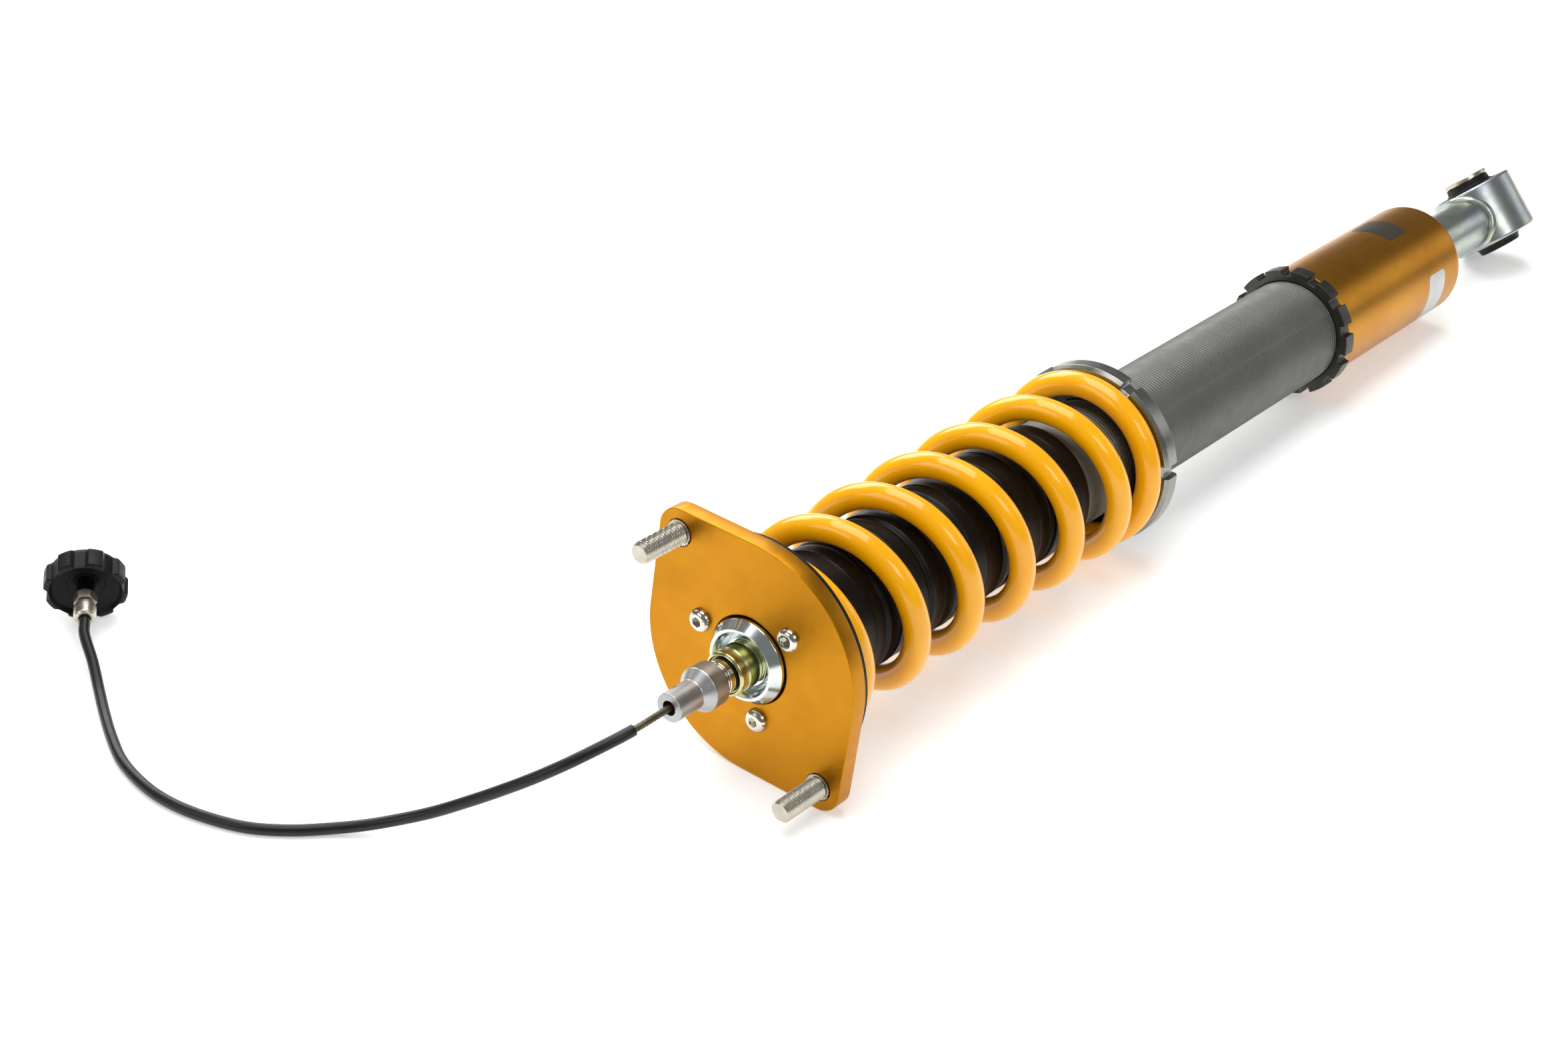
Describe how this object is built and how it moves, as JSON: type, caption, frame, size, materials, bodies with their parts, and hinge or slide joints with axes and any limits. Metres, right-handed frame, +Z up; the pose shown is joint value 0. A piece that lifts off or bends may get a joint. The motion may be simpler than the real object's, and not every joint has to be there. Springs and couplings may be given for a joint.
{
  "type": "coilover damper",
  "caption": "Adjustable coilover suspension damper with a studded top plate, coil spring, threaded tube, eye bracket and a damping knob on a flexible cord.",
  "frame": {"origin": "middle of the damper's footprint on the bench, with the flexible cord and its knob left out", "axes": "+X along the damper from the top plate towards the lower eye, +Z up from the bench, +Y towards the side the cord's knob lies on"},
  "size_m": [0.8765, 0.3613, 0.1102],
  "materials": {
    "gold_anodised": "satin",
    "zinc_plate": "satin",
    "yellow_zinc": "satin",
    "nickel": "bright",
    "steel": "satin",
    "chrome": "polished",
    "spring_paint": "gloss",
    "rubber": "matt",
    "black_plastic": "matt",
    "grey_anodised": "satin",
    "dark_anodised": "satin",
    "bronze": "satin",
    "foam": "matt",
    "cable_core": "satin"
  },
  "bodies": {
    "piston_rod": {"piston_rod": "chrome", "bearing_ball": "chrome", "rod_spacer_ring": "zinc_plate", "rod_nut": "yellow_zinc", "adjuster_seal_ring": "rubber", "adjuster_neck": "zinc_plate", "piston": "steel", "piston_band": "bronze", "piston_nut": "steel", "bump_cup": "black_plastic", "bump_stop": "foam", "dust_boot": "rubber", "cable_core": "cable_core", "cable_sleeve": "rubber"},
    "top_mount": {"top_plate": "gold_anodised", "mount_stud_1": "nickel", "mount_stud_2": "nickel", "plate_screw_1": "nickel", "plate_screw_2": "nickel", "plate_screw_3": "nickel", "upper_spring_seat": "rubber", "bearing_housing": "steel", "bearing_race": "chrome", "bearing_clip": "steel"},
    "adjuster_adapter": {"adjuster_adapter": "steel", "adapter_set_screw": "dark_anodised", "adjuster_needle": "steel"},
    "adjuster_knob": {"knob": "black_plastic", "knob_hex_nut": "zinc_plate", "cable_ferrule": "zinc_plate"},
    "damper_body": {"damper_tube": "grey_anodised", "rod_guide": "steel", "rod_seal": "rubber", "rod_wiper": "rubber", "gas_end_plug": "steel"},
    "floating_piston": {"floating_piston": "steel"},
    "spring_seat_ring": {"perch_slip_ring": "black_plastic", "main_spring": "spring_paint"},
    "spring_perch": {"spring_perch": "grey_anodised"},
    "lower_bracket": {"lower_bracket": "gold_anodised", "lower_eye": "zinc_plate", "eye_spigot_nut": "steel", "bush_rubber": "rubber"},
    "lock_ring": {"lock_ring": "dark_anodised"},
    "bush_sleeve": {"bush_inner_sleeve": "steel"}
  },
  "joints": [
    {"name": "top_mount_swivel", "type": "hinge", "parent": "piston_rod", "child": "top_mount", "pos_m": [-0.30744, 0, 0.0547], "axis": [0.9992, 0, -0.0399], "continuous": true},
    {"name": "damping_adjust", "type": "hinge", "parent": "piston_rod", "child": "adjuster_adapter", "pos_m": [-0.36169, 0, 0.05687], "axis": [0.9992, 0, -0.0399], "range_deg": [-360, 360]},
    {"name": "knob_turn", "type": "hinge", "parent": "piston_rod", "child": "adjuster_knob", "pos_m": [-0.437, 0.2898, 0.0196], "axis": [-0.6375, -0.7257, -0.2588], "range_deg": [-361, 361]},
    {"name": "stroke", "type": "slide", "parent": "piston_rod", "child": "damper_body", "axis": [-0.9992, 0, 0.0399], "range_m": [0, 0.065], "stiffness_N_per_m": 70000, "springref_m": -0.001, "deforming": ["main_spring", "dust_boot"]},
    {"name": "gas_piston_slide", "type": "slide", "parent": "damper_body", "child": "floating_piston", "axis": [0.9992, 0, -0.0399], "range_m": [0, 0.008]},
    {"name": "perch_height", "type": "slide", "parent": "damper_body", "child": "spring_seat_ring", "axis": [0.9992, 0, -0.0399], "range_m": [0, 0.01]},
    {"name": "perch_turn", "type": "hinge", "parent": "spring_seat_ring", "child": "spring_perch", "pos_m": [-0.06493, 0, 0.04503], "axis": [0.9992, 0, -0.0399], "range_deg": [0, 1802]},
    {"name": "ride_height", "type": "slide", "parent": "damper_body", "child": "lower_bracket", "axis": [0.9992, 0, -0.0399], "range_m": [-0.02, 0.02]},
    {"name": "lock_ring_slide", "type": "slide", "parent": "lower_bracket", "child": "lock_ring", "axis": [-0.9992, 0, 0.0399], "range_m": [0, 0.02]},
    {"name": "bush_twist", "type": "hinge", "parent": "lower_bracket", "child": "bush_sleeve", "pos_m": [0.34774, 0, 0.02856], "axis": [0.0292, 0.6799, 0.7327], "range_deg": [-15, 15], "stiffness_Nm_per_rad": 60}
  ],
  "couplings": [
    {"joint": "knob_turn", "follows": "damping_adjust", "ratio": 1},
    {"joint": "gas_piston_slide", "follows": "stroke", "ratio": 0.121},
    {"joint": "perch_turn", "follows": "perch_height", "rad_per_m": 3141.6}
  ]
}
